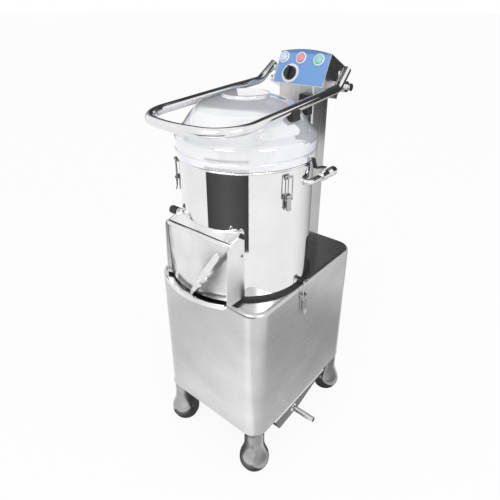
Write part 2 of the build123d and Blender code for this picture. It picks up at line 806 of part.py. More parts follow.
# Water inlet: elbow into the top ring, ball valve, hose tail
pipe_wall_gap = 4.5
pipe_bend_r = 12.0
valve_start_y = 70.0
valve_end_y = 100.0
valve_r = 13.0
stem_r = 5.5
stem_rise = 22.0
tail_end_y = 140.0
tail_r = 9.0
tail_flare_r = 13.0
arm_half = 6.0
arm_thick = 3.0
arm_rise = 10.0
arm_reach = 44.0
arm_tip_reach = 58.0
arm_tip_rise = 40.0

pipe_x = drum_r + pipe_wall_gap + pipe_r
pipe_z = seam_z + inlet_above_seam
pipe_bore_r = pipe_r - pipe_wall


def water_pipe():
    entry = sqrt(drum_inner_r ** 2 - inlet_y ** 2)
    line = FilletPolyline((entry, inlet_y, pipe_z), (pipe_x, inlet_y, pipe_z), (pipe_x, valve_start_y, pipe_z),
                          radius=pipe_bend_r)
    start = Plane(origin=line @ 0, z_dir=line % 0)
    return sweep(start * Circle(pipe_r), path=line) - sweep(start * Circle(pipe_bore_r), path=line)


def valve_body():
    """Ball valve with its stem upwards."""
    body = bar_along_y(valve_r, pipe_x, pipe_z, valve_start_y, valve_end_y)
    middle = (valve_start_y + valve_end_y) / 2
    body += Pos(pipe_x, middle) * disc(stem_r, pipe_z, pipe_z + stem_rise)
    return body - bar_along_y(pipe_bore_r, pipe_x, pipe_z, valve_start_y, valve_end_y)


def valve_lever():
    """Bent strip handle on the valve's stem."""
    middle = (valve_start_y + valve_end_y) / 2
    low = pipe_z + stem_rise + gap
    path = [(middle + stem_r, low), (middle - arm_reach, low + arm_rise), (middle - arm_tip_reach, low + arm_tip_rise)]
    upper = [(y + arm_thick / 2, z + arm_thick) for y, z in reversed(path)]
    outline = make_face(Polyline(*path, *upper, close=True))
    return side_plate(outline, pipe_x - arm_half, pipe_x + arm_half)


def hose_tail():
    """Flared hose connection of the water inlet."""
    plane = Plane(origin=(pipe_x, valve_end_y, pipe_z), x_dir=(1, 0, 0), z_dir=(0, 1, 0))
    length = tail_end_y - valve_end_y
    body = Cone(tail_r, tail_flare_r, length / 2, align=(Align.CENTER, Align.CENTER, Align.MIN))
    body += Pos(0, 0, length / 2) * extrude(Circle(tail_flare_r), length / 2)
    return plane * (body - Pos(0, 0, -overrun) * extrude(Circle(pipe_bore_r), length + 2 * overrun))


# Peel tray: trough on two rails under the cabinet, with a drain pipe through its front wall
tray_front_inset = 4.0
tray_rear_inset = 42.0
tray_section_drop = [(-98.0, 8.5), (-67.0, 68.5), (45.0, 58.5), (203.0, 11.5), (203.0, 8.5)]
tray_sheet = 1.5
tray_flange = 8.0
tray_bead_r = 4.0
rail_sheet = 2.0
rail_ledge = 7.0
rail_front_inset = 22.0
drain_y = 5.0
drain_drop = 29.5
drain_r = 8.8
drain_wall = 1.5
drain_reach = 84.0
drain_nut_r = 14.0
drain_nut = 4.0

tray_front_x = cabinet_half - tray_front_inset
tray_rear_x = tray_rear_inset - cabinet_half
rail_front_x = cabinet_half - rail_front_inset
drain_z = cabinet_bottom_z - drain_drop
tray_section = [(y, cabinet_bottom_z - drop) for y, drop in tray_section_drop]
tray_top_z = tray_section[0][1]
tray_low_y = tray_section[0][0]
tray_high_y = tray_section[-1][0]
ledge_top_z = tray_top_z - tray_sheet - gap


def peel_tray():
    outline = make_face(Polyline(*tray_section, close=True))
    hollow = offset(outline, -tray_sheet)
    hollow += Pos(0, tray_sheet * 2) * hollow
    body = side_plate(outline, tray_rear_x, tray_front_x)
    body -= side_plate(hollow, tray_rear_x + tray_sheet, tray_front_x - tray_sheet)
    for y in ((tray_low_y - tray_flange, tray_low_y + tray_sheet), (tray_high_y - tray_sheet, tray_high_y + tray_flange)):
        body += block((tray_rear_x, tray_front_x), y, (tray_top_z - tray_sheet, tray_top_z))
    body += bar_along_y(tray_bead_r, tray_front_x, tray_top_z - tray_sheet, tray_low_y, tray_high_y)
    return body - bar_along_x(drain_r, drain_y, drain_z, tray_front_x - overrun, tray_front_x + overrun)


def drain_spigot():
    """Short drain pipe with a flange nut outside the tray."""
    pipe = bar_along_x(drain_r, drain_y, drain_z, tray_front_x - tray_sheet, tray_front_x + drain_reach)
    pipe += bar_along_x(drain_nut_r, drain_y, drain_z, tray_front_x, tray_front_x + drain_nut)
    return pipe - bar_along_x(drain_r - drain_wall, drain_y, drain_z, tray_front_x - overrun,
                              tray_front_x + drain_reach + overrun)


def tray_rails():
    """Angle rails under the pan that carry the tray's side flanges."""
    pan_z = cabinet_bottom_z + sheet
    rails = []
    for edge, side in ((tray_low_y - tray_flange - gap, -1), (tray_high_y + tray_flange + gap, 1)):
        web = sorted((edge, edge + side * rail_sheet))
        ledge = sorted((edge, edge - side * rail_ledge))
        rail = block((tray_rear_x, rail_front_x), web, (ledge_top_z - rail_sheet, pan_z))
        rail += block((tray_rear_x, rail_front_x), ledge, (ledge_top_z - rail_sheet, ledge_top_z))
        rails.append(rail)
    return Compound(children=rails)


# Toggle latches, modelled with the wall at X = 0, outward +X and the lever's pivot at Z = 0
latch_pivot_x = 9.0
latch_pin_r = 2.0
latch_hub_r = 4.5
ear_r = 4.2
ear_thick = 2.0
latch_plate = 2.0
latch_plate_rise = 7.0
lever_half = 7.0
latch_lever_thick = 3.0
bail_drop = 7.0
bail_height = 63.0
bail_wire_r = 1.5
bail_eye_r = 3.0
bail_eye_half = 1.2
bail_x = 8.0
catch_side_gap = 1.5
catch_lip = 0.9
catch_lip_thick = 1.5
catch_lip_gap = 1.3
catch_drop = 10.0
drum_latch_angles = (-17.0, -137.0, 103.0)
drum_latch_drop = 10.0
drum_lever_length = 37.0
base_latch_y = 20.0
base_latch_drop = 37.5
base_lever_length = 62.0

ear_inner = lever_half + gap
bail_half = ear_inner + ear_thick + gap + bail_wire_r
catch_half = bail_half - bail_wire_r - catch_side_gap


def latch_base(lever_length):
    """Back plate with two ears and the lever's pin."""
    plate_half = ear_inner + ear_thick
    body = block((0, latch_plate), (-plate_half, plate_half), (-lever_length, latch_plate_rise))
    for start in (-plate_half, ear_inner):
        body += block((0, latch_pivot_x), (start, start + ear_thick), (-ear_r, ear_r))
        body += bar_along_y(ear_r, latch_pivot_x, 0, start, start + ear_thick)
    return body + bar_along_y(latch_pin_r, latch_pivot_x, 0, -plate_half, plate_half)


def latch_lever(lever_length):
    """Hub, bent finger plate and the pin that carries the bail."""
    hub = bar_along_y(latch_hub_r, latch_pivot_x, 0, -lever_half, lever_half)
    bend = lever_length * 3 / 4
    rear = latch_pivot_x - latch_lever_thick / 2
    outline = Polyline((rear, 0), (rear, -bend), (rear + latch_lever_thick, -lever_length),
                       (rear + 2 * latch_lever_thick, -lever_length), (rear + latch_lever_thick, -bend),
                       (rear + latch_lever_thick, 0), close=True)
    plane = Plane(origin=(0, lever_half, 0), x_dir=(1, 0, 0), z_dir=(0, -1, 0))
    plate = plane * extrude(make_face(outline), 2 * lever_half)
    reach = bail_half + bail_wire_r
    body = hub + plate + bar_along_y(bail_wire_r, bail_x, -bail_drop, -reach, reach)
    return body - bar_along_y(latch_pin_r + running, latch_pivot_x, 0, -overrun, overrun)


def latch_bail():
    """Wire loop with an eye at each foot."""
    top = bail_height - bail_drop
    line = FilletPolyline((bail_x, -bail_half, -bail_drop), (bail_x, -bail_half, top),
                          (bail_x, bail_half, top), (bail_x, bail_half, -bail_drop),
                          radius=bail_eye_r)
    start = Plane(origin=line @ 0, z_dir=line % 0)
    body = sweep(start * Circle(bail_wire_r), path=line)
    for y in (-bail_half, bail_half):
        body += bar_along_y(bail_eye_r, bail_x, -bail_drop, y - bail_eye_half, y + bail_eye_half)
    return body - bar_along_y(bail_wire_r + running, bail_x, -bail_drop, -overrun, overrun)


def latch_catch(root_x):
    """Hooked ledge that the bail's top wire is drawn down on."""
    ledge = bail_height - bail_drop - bail_wire_r - gap
    lip_x = bail_x + bail_wire_r + catch_lip_gap
    outer = lip_x + catch_lip_thick
    outline = Polyline((root_x, ledge), (lip_x, ledge), (lip_x, ledge + catch_lip), (outer, ledge + catch_lip),
                       (outer, ledge - catch_lip_thick), (0, ledge - catch_drop), (root_x, ledge - catch_drop),
                       close=True)
    plane = Plane(origin=(0, catch_half, 0), x_dir=(1, 0, 0), z_dir=(0, -1, 0))
    return plane * extrude(make_face(outline), 2 * catch_half)


drum_latch_places = [Rot(0, 0, angle) * Pos(drum_r, 0, seam_z - drum_latch_drop) for angle in drum_latch_angles]
base_latch_places = [Pos(side * cabinet_half, base_latch_y, cabinet_top_z - base_latch_drop) * Rot(0, 0, turn)
                     for side, turn in ((1, 0), (-1, 180))]


def latch_bases():
    pieces = [place * latch_base(drum_lever_length) for place in drum_latch_places]
    pieces += [place * latch_base(base_lever_length) for place in base_latch_places]
    return Compound(children=pieces)


def latch_catches():
    drum_wall = disc(drum_r, drum_bottom_z, rim_z)
    reach = drum_r - cabinet_half
    pieces = [place * latch_catch(-overrun / 4) - drum_wall for place in drum_latch_places]
    pieces += [place * latch_catch(reach - overrun / 4) - drum_wall for place in base_latch_places]
    return Compound(children=[piece.solids().sort_by(SortBy.VOLUME)[-1] for piece in pieces])


latch_sets = [(place, drum_lever_length) for place in drum_latch_places]
latch_sets += [(place, base_lever_length) for place in base_latch_places]

pieces = {
    "base_cabinet": base_cabinet(),
    "bottom_pan": bottom_pan(),
    "waste_duct": waste_duct(),
    "legs": legs(),
    "foot_pads": foot_pads(),
    "seat_gasket": seat_gasket(),
    "drum_shell": drum_shell(),
    "drum_top_ring": drum_top_ring(),
    "abrasive_liner": abrasive_liner(),
    "abrasive_disc": abrasive_disc(),
    "main_shaft": main_shaft(),
    "driven_pulley": pulley(driven_r, shaft_r),
    "bearing_housing": bearing_housing(),
    "shaft_bearings": shaft_bearings(),
    "drive_belt": drive_belt(),
    "motor": motor(),
    "motor_plate": motor_plate(),
    "motor_pulley": motor_pulley(),
    "lid_dome": lid_dome(),
    "lid_hoop": lid_hoop(),
    "hoop_saddles": hoop_saddles(),
    "hinge_plates": hinge_plates(),
    "pivot_pins": pivot_pins(),
    "control_column": control_column(),
    "control_box": control_box(),
    "entry_cover": entry_cover(),
    "lid_sensor": lid_sensor(),
    "lid_magnet": lid_magnet(),
    "control_panel": control_panel(),
    "button_bezels": button_bezels(),
    "timer_dial": timer_dial(),
    "timer_knob": timer_knob(),
    "chute_housing": chute_housing(),
    "chute_knobs": chute_knobs(),
    "door_rod": door_rod(),
    "chute_door": chute_door(),
    "door_lever": door_lever(),
    "lever_keeper": lever_keeper(),
    "water_pipe": water_pipe(),
    "valve_body": valve_body(),
    "valve_lever": valve_lever(),
    "hose_tail": hose_tail(),
    "peel_tray": peel_tray(),
    "drain_spigot": drain_spigot(),
    "tray_rails": tray_rails(),
    "latch_bases": latch_bases(),
    "latch_catches": latch_catches(),
}
for side in button_places:
    pieces[f"{side}_button"] = push_button(side)
for number, (place, length) in enumerate(latch_sets, start=1):
    pieces[f"latch_lever_{number}"] = place * latch_lever(length)
    pieces[f"latch_bail_{number}"] = place * latch_bail()

os.makedirs("parts", exist_ok=True)
for node, shape in pieces.items():
    export_step(shape, f"parts/{node}.step")
print(len(pieces), "nodes written")
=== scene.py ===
import math

import bmesh
import bpy
import numpy as np
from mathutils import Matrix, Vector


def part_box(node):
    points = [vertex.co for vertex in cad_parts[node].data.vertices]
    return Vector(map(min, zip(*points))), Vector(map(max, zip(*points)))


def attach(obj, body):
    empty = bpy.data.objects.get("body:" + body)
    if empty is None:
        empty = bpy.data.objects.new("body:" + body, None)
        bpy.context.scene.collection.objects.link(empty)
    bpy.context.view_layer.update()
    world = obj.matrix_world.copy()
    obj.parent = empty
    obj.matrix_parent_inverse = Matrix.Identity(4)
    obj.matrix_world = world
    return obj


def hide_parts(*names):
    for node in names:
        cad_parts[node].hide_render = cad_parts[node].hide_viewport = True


# Potato peeler on four bulb legs, dressed in the order in which it is put together.
# The floor is Z = 0, the drum's axis is the Z axis and the discharge chute faces -Y. Metres.
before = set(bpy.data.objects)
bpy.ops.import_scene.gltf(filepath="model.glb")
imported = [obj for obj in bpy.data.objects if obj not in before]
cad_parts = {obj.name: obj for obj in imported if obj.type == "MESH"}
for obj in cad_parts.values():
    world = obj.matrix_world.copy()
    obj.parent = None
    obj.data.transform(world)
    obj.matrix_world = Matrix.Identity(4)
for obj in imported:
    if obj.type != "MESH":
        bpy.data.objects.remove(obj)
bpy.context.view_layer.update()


# Cabinet: one folded stainless cover, brushed and bent over at the top. The pan that closes it
# below, the plate over the cable entry and the duct to the peel tray are the same sheet.
noise_low, noise_high = 0.3, 0.7  # most of a noise's values lie between these


def plain_finish(name):
    """A new material with its nodes, its links and its surface shader."""
    material = bpy.data.materials.new(name)
    material.use_nodes = True
    tree = material.node_tree
    return material, tree.nodes, tree.links, tree.nodes["Principled BSDF"]


def object_noise(nodes, links, waves, detail=4.0):
    """Noise on the piece's own coordinates, with a number of waves per metre along each axis."""
    place = nodes.new("ShaderNodeTexCoord")
    spread = nodes.new("ShaderNodeMapping")
    spread.inputs["Scale"].default_value = waves
    noise = nodes.new("ShaderNodeTexNoise")
    noise.inputs["Scale"].default_value = 1.0
    noise.inputs["Detail"].default_value = detail
    links.new(place.outputs["Object"], spread.inputs["Vector"])
    links.new(spread.outputs["Vector"], noise.inputs["Vector"])
    return noise.outputs["Fac"]


def value_between(nodes, links, factor, low, high):
    """The noise's usual range stretched to run from low to high."""
    span = nodes.new("ShaderNodeMapRange")
    span.inputs["From Min"].default_value = noise_low
    span.inputs["From Max"].default_value = noise_high
    span.inputs["To Min"].default_value = low
    span.inputs["To Max"].default_value = high
    links.new(factor, span.inputs["Value"])
    return span.outputs["Result"]


def tint_between(nodes, links, factor, dark, light, start=noise_low, end=noise_high):
    """Colour that runs from a dark to a light tint as the factor goes from start to end."""
    ramp = nodes.new("ShaderNodeValToRGB")
    ramp.color_ramp.elements[0].position = start
    ramp.color_ramp.elements[0].color = (*dark, 1)
    ramp.color_ramp.elements[1].position = end
    ramp.color_ramp.elements[1].color = (*light, 1)
    links.new(factor, ramp.inputs["Fac"])
    return ramp.outputs["Color"]


def raised_by(nodes, links, factor, height):
    """Normal tilted by a relief of the given height in metres."""
    bump = nodes.new("ShaderNodeBump")
    bump.inputs["Strength"].default_value = 1.0
    bump.inputs["Distance"].default_value = height
    links.new(factor, bump.inputs["Height"])
    return bump.outputs["Normal"]


def steel(name, dark, light, rough, grain, relief, clouds=(6, 6, 9)):
    """Metal whose fine grain lines sit in cloudier, hand-worn patches, both in waves per metre."""
    material, nodes, links, shader = plain_finish(name)
    shader.inputs["Metallic"].default_value = 1.0
    lines = object_noise(nodes, links, grain)
    patches = object_noise(nodes, links, clouds, detail=2.0)
    links.new(tint_between(nodes, links, patches, dark, light), shader.inputs["Base Color"])
    links.new(value_between(nodes, links, lines, *rough), shader.inputs["Roughness"])
    links.new(raised_by(nodes, links, lines, relief), shader.inputs["Normal"])
    return material


def dress(material, *nodes):
    """Gives CAD nodes their finish."""
    for node in nodes:
        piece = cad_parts[node]
        if not piece.material_slots:
            piece.data.materials.append(material)
        for slot in piece.material_slots:
            slot.material = material


brushed_sheet = steel("brushed_sheet", dark=(0.55, 0.55, 0.555), light=(0.64, 0.64, 0.645),
                      rough=(0.22, 0.32), grain=(6, 6, 1500), relief=0.00001)
dress(brushed_sheet, "base_cabinet", "bottom_pan", "entry_cover", "waste_duct")


# Legs: hollow aluminium castings with a straight neck over a ball foot, hand-polished, screwed
# under the cabinet's corners. Rubber pads inside the balls keep them from sliding.
def surface(name, *grids, closed_rows=False, sharp=35):
    """Mesh over grids of points that are closed across: quad (i, j) joins the points (i, j),
    (i, j+1), (i+1, j+1) and (i+1, j). Points that fall together at a pole are merged."""
    corners, quads, start = [], [], 0
    for grid in grids:
        rows, columns = grid.shape[:2]
        row = np.arange(rows if closed_rows else rows - 1)[:, None] * columns
        next_row = (row + columns) % (rows * columns)
        column = np.arange(columns)[None, :]
        next_column = (column + 1) % columns
        quad = np.stack([row + column, row + next_column, next_row + next_column,
                         next_row + column], axis=-1)
        corners.append(grid.reshape(-1, 3))
        quads.append(quad.reshape(-1, 4) + start)
        start += rows * columns
    mesh = bpy.data.meshes.new(name)
    mesh.from_pydata(np.vstack(corners).tolist(), [], np.vstack(quads).tolist())
    shape = bmesh.new()
    shape.from_mesh(mesh)
    bmesh.ops.remove_doubles(shape, verts=shape.verts, dist=1e-6)
    loose = [edge for edge in shape.edges if not edge.link_faces]
    bmesh.ops.delete(shape, geom=loose, context="EDGES")
    bmesh.ops.recalc_face_normals(shape, faces=shape.faces)
    shape.to_mesh(mesh)
    shape.free()
    mesh.shade_smooth()
    mesh.set_sharp_from_angle(angle=math.radians(sharp))
    piece = bpy.data.objects.new(name, mesh)
    bpy.context.scene.collection.objects.link(piece)
    return piece


def softened(points, bend, steps=7):
    """Straight lines through the points with each inner corner B rounded:
    (1-t)^2 A + 2t(1-t) B + t^2 C, where A and C lie the bend's length before and after the corner,
    at most half of the way. The bend is one length, or a column with one for each inner corner."""
    points = np.asarray(points, float)
    before, corner, after = points[:-2], points[1:-1], points[2:]
    way_in = np.linalg.norm(before - corner, axis=1, keepdims=True)
    way_out = np.linalg.norm(after - corner, axis=1, keepdims=True)
    start = (corner + (before - corner) * np.minimum(bend / way_in, 0.5))[:, None]
    end = (corner + (after - corner) * np.minimum(bend / way_out, 0.5))[:, None]
    t = np.linspace(0, 1, steps)[None, :, None]
    curve = (1 - t) ** 2 * start + 2 * t * (1 - t) * corner[:, None] + t ** 2 * end
    return np.vstack([points[:1], curve.reshape(-1, points.shape[1]), points[-1:]])


def turned(outline, steps):
    """Outline of (radius, height) turned about the Z axis: x = r cos a, y = r sin a, z = height."""
    angle = np.linspace(0, 2 * math.pi, steps, endpoint=False)
    radius, height = outline[:, :1], outline[:, 1:]
    return np.stack([radius * np.cos(angle), radius * np.sin(angle), height + 0 * angle], axis=-1)


def fit(piece, body, slot, material, *replaced):
    """Sets a finished piece on its body with its finish, in the place of CAD nodes."""
    piece.data.materials.append(material)
    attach(piece, body)
    if replaced:
        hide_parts(*replaced)


# Corners of a leg's side from the foot's middle up: radius, height and length of the bend.
leg_corners = np.array([(0.0, 0.0042, 0), (0.0360, 0.0042, 0.001), (0.0478, 0.0120, 0.010),
                        (0.0492, 0.0380, 0.014), (0.0385, 0.0640, 0.014),
                        (0.0322, 0.0900, 0.014), (0.0318, 0.1550, 0.020),
                        (0.0345, 0.1570, 0.001), (0.0345, 0.1614, 0.001), (0.0, 0.1614, 0)])
leg_side = softened(leg_corners[:, :2], leg_corners[1:-1, 2:])
one_leg = turned(leg_side, steps=72)
leg_low, leg_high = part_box("legs")
ball_r = 0.0457
leg_places = [(x, y) for x in (leg_low.x + ball_r, leg_high.x - ball_r)
              for y in (leg_low.y + ball_r, leg_high.y - ball_r)]
leg_castings = surface("leg_castings", *[one_leg + np.array([x, y, 0]) for x, y in leg_places])
cast_metal = steel("cast_metal", dark=(0.26, 0.26, 0.265), light=(0.42, 0.42, 0.425),
                   rough=(0.10, 0.18), grain=(40, 40, 40), relief=0.00010, clouds=(16, 16, 22))
fit(leg_castings, "machine", "cast_leg", cast_metal, "legs")


def moulded(name, dark, light, rough, grain, relief):
    """Rubber or plastic with a fine moulded grain, in waves per metre."""
    material, nodes, links, shader = plain_finish(name)
    specks = object_noise(nodes, links, (grain, grain, grain))
    links.new(tint_between(nodes, links, specks, dark, light), shader.inputs["Base Color"])
    links.new(value_between(nodes, links, specks, *rough), shader.inputs["Roughness"])
    links.new(raised_by(nodes, links, specks, relief), shader.inputs["Normal"])
    return material


black_rubber = moulded("black_rubber", dark=(0.010, 0.010, 0.011), light=(0.024, 0.024, 0.024),
                       rough=(0.55, 0.75), grain=900, relief=0.00005)
dress(black_rubber, "foot_pads")


# Drum: rolled stainless shell polished nearly to a mirror, with a ring of the same sheet on top.
# It stands on the cabinet on a black rubber gasket.
polished_sheet = steel("polished_sheet", dark=(0.80, 0.80, 0.805), light=(0.87, 0.87, 0.875),
                       rough=(0.03, 0.06), grain=(700, 700, 5), relief=0.000003,
                       clouds=(11, 11, 11))
dress(polished_sheet, "drum_shell", "drum_top_ring")
# The black gasket is partly painted shadow: its dark band also stands in for the shadow in the gap
# under the drum.
dress(black_rubber, "seat_gasket")


# Toggle latches: three hold the ring on the shell and two hold the drum on the cabinet. Plates,
# folded levers and wire bails are plated steel, and the plates are riveted on.
latch_count = 5
plated_clip = steel("plated_clip", dark=(0.42, 0.42, 0.43), light=(0.62, 0.62, 0.63),
                    rough=(0.12, 0.22), grain=(90, 90, 90), relief=0.00003)
dress(plated_clip, "latch_bases", "latch_catches")
for number in range(1, latch_count + 1):
    dress(plated_clip, f"latch_lever_{number}", f"latch_bail_{number}")


# Liner and turning disc: steel with coarse grit bonded to it, which rubs the skins off. The liner
# stands inside the shell, and a nut holds the disc on its shaft.
def grit(name, dark, light, grain, relief):
    """Bonded grit, in grains per metre, each with its own shade."""
    material, nodes, links, shader = plain_finish(name)
    place = nodes.new("ShaderNodeTexCoord")
    grains = nodes.new("ShaderNodeTexVoronoi")
    grains.inputs["Scale"].default_value = grain
    links.new(place.outputs["Object"], grains.inputs["Vector"])
    shade = tint_between(nodes, links, grains.outputs["Color"], dark, light)
    links.new(shade, shader.inputs["Base Color"])
    tilt = raised_by(nodes, links, grains.outputs["Distance"], relief)
    links.new(tilt, shader.inputs["Normal"])
    shader.inputs["Roughness"].default_value = 0.85
    return material


carborundum = grit("carborundum", dark=(0.30, 0.29, 0.28), light=(0.55, 0.53, 0.50),
                   grain=450, relief=0.0008)
dress(carborundum, "abrasive_liner", "abrasive_disc")


# Drive: a motor that hangs from a plate under the cabinet's top turns the disc's shaft by a belt.
# The shaft is ground, the pulleys and the housing are turned, and the motor is painted.
machined = steel("machined", dark=(0.48, 0.48, 0.48), light=(0.56, 0.56, 0.56),
                 rough=(0.25, 0.4), grain=(30, 30, 900), relief=0.00003)
dress(machined, "main_shaft", "shaft_bearings", "bearing_housing", "driven_pulley", "motor_pulley")
motor_paint = moulded("motor_paint", dark=(0.09, 0.10, 0.12), light=(0.12, 0.13, 0.15),
                      rough=(0.35, 0.5), grain=300, relief=0.0001)
dress(motor_paint, "motor")
dress(brushed_sheet, "motor_plate")
dress(black_rubber, "drive_belt")


# Lid: one clear moulding with a thick lower lip, a steep collar and a dome with a raised cap.
# It hangs from a polished steel hoop on two black saddles.
def clear_plastic(name, dark, light, rough):
    """Clear plastic made milky and pale: a part of the light passes, and most of it is
    scattered under a glossy skin."""
    material, nodes, links, shader = plain_finish(name)
    clouds = object_noise(nodes, links, (9, 9, 7), detail=2.0)
    links.new(tint_between(nodes, links, clouds, dark, light), shader.inputs["Base Color"])
    links.new(value_between(nodes, links, clouds, *rough), shader.inputs["Roughness"])
    shader.inputs["Transmission Weight"].default_value = 0.12
    shader.inputs["IOR"].default_value = 2.0
    shader.inputs["Specular IOR Level"].default_value = 1.0
    shader.inputs["Coat Weight"].default_value = 1.0
    shader.inputs["Coat IOR"].default_value = 2.0
    return material


# Corners of the lid's side from the lip's foot to the cap's middle: radius, height and bend.
lid_corners = np.array([(0.1915, 1.0055, 0), (0.1970, 1.0055, 0.002), (0.1970, 1.0235, 0.002),
                        (0.1926, 1.0248, 0.001), (0.1961, 1.0280, 0.002),
                        (0.1966, 1.0605, 0.006), (0.1736, 1.0790, 0.010),
                        (0.1639, 1.0960, 0.022), (0.1330, 1.1340, 0.016),
                        (0.0700, 1.1521, 0.003), (0.0665, 1.1580, 0.003),
                        (0.0600, 1.1592, 0.004), (0.0, 1.1625, 0)])
lid_side = softened(lid_corners[:, :2], lid_corners[1:-1, 2:])
# The wall's other side is side - wall (dz, dr), with (dr, dz) the direction of the side: it lies
# inside the collar, crosses the side on the shoulder and lies over the dome.
lid_wall = 0.003
along = np.gradient(lid_side, axis=0)
along /= np.linalg.norm(along, axis=1, keepdims=True)
lid_back = np.maximum(lid_side - lid_wall * along[:, ::-1], [0, lid_side[0, 1]])
lid_shell = surface("lid_shell", turned(np.vstack([lid_side, lid_back[::-1]]), steps=160),
                    closed_rows=True)
milky_plastic = clear_plastic("clear_plastic", dark=(0.80, 0.81, 0.90),
                              light=(0.93, 0.935, 0.96), rough=(0.03, 0.10))
fit(lid_shell, "lid", "clear_lid", milky_plastic, "lid_dome")


def bright_metal(name, dark, light, rough):
    """Bright polished or plated metal with faint wipe marks."""
    material, nodes, links, shader = plain_finish(name)
    shader.inputs["Metallic"].default_value = 1.0
    wipes = object_noise(nodes, links, (40, 40, 40))
    links.new(tint_between(nodes, links, wipes, dark, light), shader.inputs["Base Color"])
    links.new(value_between(nodes, links, wipes, *rough), shader.inputs["Roughness"])
    return material


bright_tube = bright_metal("bright_tube", dark=(0.78, 0.78, 0.79), light=(0.86, 0.86, 0.87),
                           rough=(0.05, 0.10))
dress(bright_tube, "lid_hoop", "hinge_plates", "pivot_pins")
black_plastic = moulded("black_plastic", dark=(0.010, 0.010, 0.012), light=(0.022, 0.022, 0.025),
                        rough=(0.35, 0.5), grain=1200, relief=0.00003)
dress(black_plastic, "hoop_saddles", "lid_magnet")


# Column and control box: folded brushed sheet, the box tilted back on the column. Its face is
# covered by a blue panel film that is darker along the top, and the lid's sensor is screwed on.
column_sheet = steel("column_sheet", dark=(0.60, 0.60, 0.605), light=(0.68, 0.68, 0.685),
                     rough=(0.20, 0.30), grain=(900, 900, 6), relief=0.00002)
dress(column_sheet, "control_column", "control_box")
dress(black_plastic, "lid_sensor")


def panel_film(name, low, high, dark, plain):
    """Printed film: plain colour that darkens between two heights, under a fine matt grain."""
    material, nodes, links, shader = plain_finish(name)
    place = nodes.new("ShaderNodeTexCoord")
    parts = nodes.new("ShaderNodeSeparateXYZ")
    rise = nodes.new("ShaderNodeMapRange")
    rise.inputs["From Min"].default_value = low
    rise.inputs["From Max"].default_value = high
    links.new(place.outputs["Object"], parts.inputs["Vector"])
    links.new(parts.outputs["Z"], rise.inputs["Value"])
    shade = tint_between(nodes, links, rise.outputs["Result"], plain, dark, start=0.0, end=1.0)
    links.new(shade, shader.inputs["Base Color"])
    specks = object_noise(nodes, links, (700, 700, 700))
    links.new(value_between(nodes, links, specks, 0.30, 0.42), shader.inputs["Roughness"])
    links.new(raised_by(nodes, links, specks, 0.00001), shader.inputs["Normal"])
    return material


film_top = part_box("control_panel")[1].z
blue_film = panel_film("blue_film", low=film_top - 0.013, high=film_top - 0.009,
                       dark=(0.11, 0.23, 0.50), plain=(0.19, 0.375, 0.75))
dress(blue_film, "control_panel")


# Push buttons and timer: domed caps in milky sealing boots, and a knob on a white dial. All are
# screwed in through the film with their axes square to the tilted face.
panel_tilt = math.radians(26.3)
panel_face = np.array([0, 0.238, 1.152])
panel_up = np.array([0, math.sin(panel_tilt), math.cos(panel_tilt)])
panel_out = np.array([0, -math.cos(panel_tilt), math.sin(panel_tilt)])
film_thick = 0.0015


def on_panel(grid, across, up):
    """A shape about the Z axis set on the panel: face + x X + y Y + z N, with N square to it."""
    x, y, z = grid[..., :1] + across, grid[..., 1:2] + up, grid[..., 2:] + film_thick
    return panel_face + x * np.array([1, 0, 0]) + y * panel_up + z * panel_out


# Each button's place across and up the panel, its slot, and its cap's darker and lighter tint.
buttons = {"left": ((-0.070, 0.079), "button_white", (0.62, 0.74, 0.90), (0.68, 0.80, 0.94)),
           "middle": ((-0.009, 0.080), "button_red", (0.86, 0.30, 0.36), (0.90, 0.38, 0.44)),
           "right": ((0.054, 0.079), "button_green", (0.30, 0.66, 0.56), (0.38, 0.74, 0.62))}
cap_side = softened([(0.0, 0.0034), (0.0128, 0.0034), (0.0128, 0.0078), (0.0060, 0.0100),
                     (0.0, 0.0103)], bend=0.0025)
one_cap = turned(cap_side, steps=48)
for side, (place, slot, dark, light) in buttons.items():
    cap = surface(f"{side}_cap", on_panel(one_cap, *place))
    cap_finish = moulded(f"{side}_cap", dark, light, rough=(0.15, 0.25), grain=200, relief=0.00001)
    fit(cap, f"button_{side}", slot, cap_finish, f"{side}_button")
boot_side = softened([(0.0133, 0.0002), (0.0187, 0.0002), (0.0187, 0.0030), (0.0160, 0.0060),
                      (0.0133, 0.0052), (0.0133, 0.0002)], bend=0.0012)
one_boot = turned(boot_side, steps=48)
boots = surface("button_boots", *[on_panel(one_boot, *place) for place, *_ in buttons.values()],
                closed_rows=True)
milky_boot = moulded("milky_boot", dark=(0.72, 0.80, 0.86), light=(0.80, 0.87, 0.92),
                     rough=(0.18, 0.28), grain=200, relief=0.00001)
fit(boots, "machine", "bezel_clear", milky_boot, "button_bezels")
dial_white = moulded("dial_white", dark=(0.84, 0.84, 0.84), light=(0.90, 0.90, 0.90),
                     rough=(0.4, 0.5), grain=200, relief=0.00001)
dress(dial_white, "timer_dial")
dress(black_plastic, "timer_knob")


# Discharge chute: cheeks, roof and floor welded from polished sheet. The roof's edge is rolled
# over the rod that carries the door, and a bent lever on the door turns behind a keeper.
# Round-head screws hold the cheeks.
chute_sheet = steel("chute_sheet", dark=(0.76, 0.76, 0.765), light=(0.86, 0.86, 0.865),
                    rough=(0.18, 0.27), grain=(9, 9, 400), relief=0.000006, clouds=(14, 14, 14))
dress(chute_sheet, "chute_housing", "chute_door", "door_rod")
dress(bright_tube, "door_lever", "lever_keeper")
dress(black_plastic, "chute_knobs")
rod_y, rod_z = -0.206, 0.819


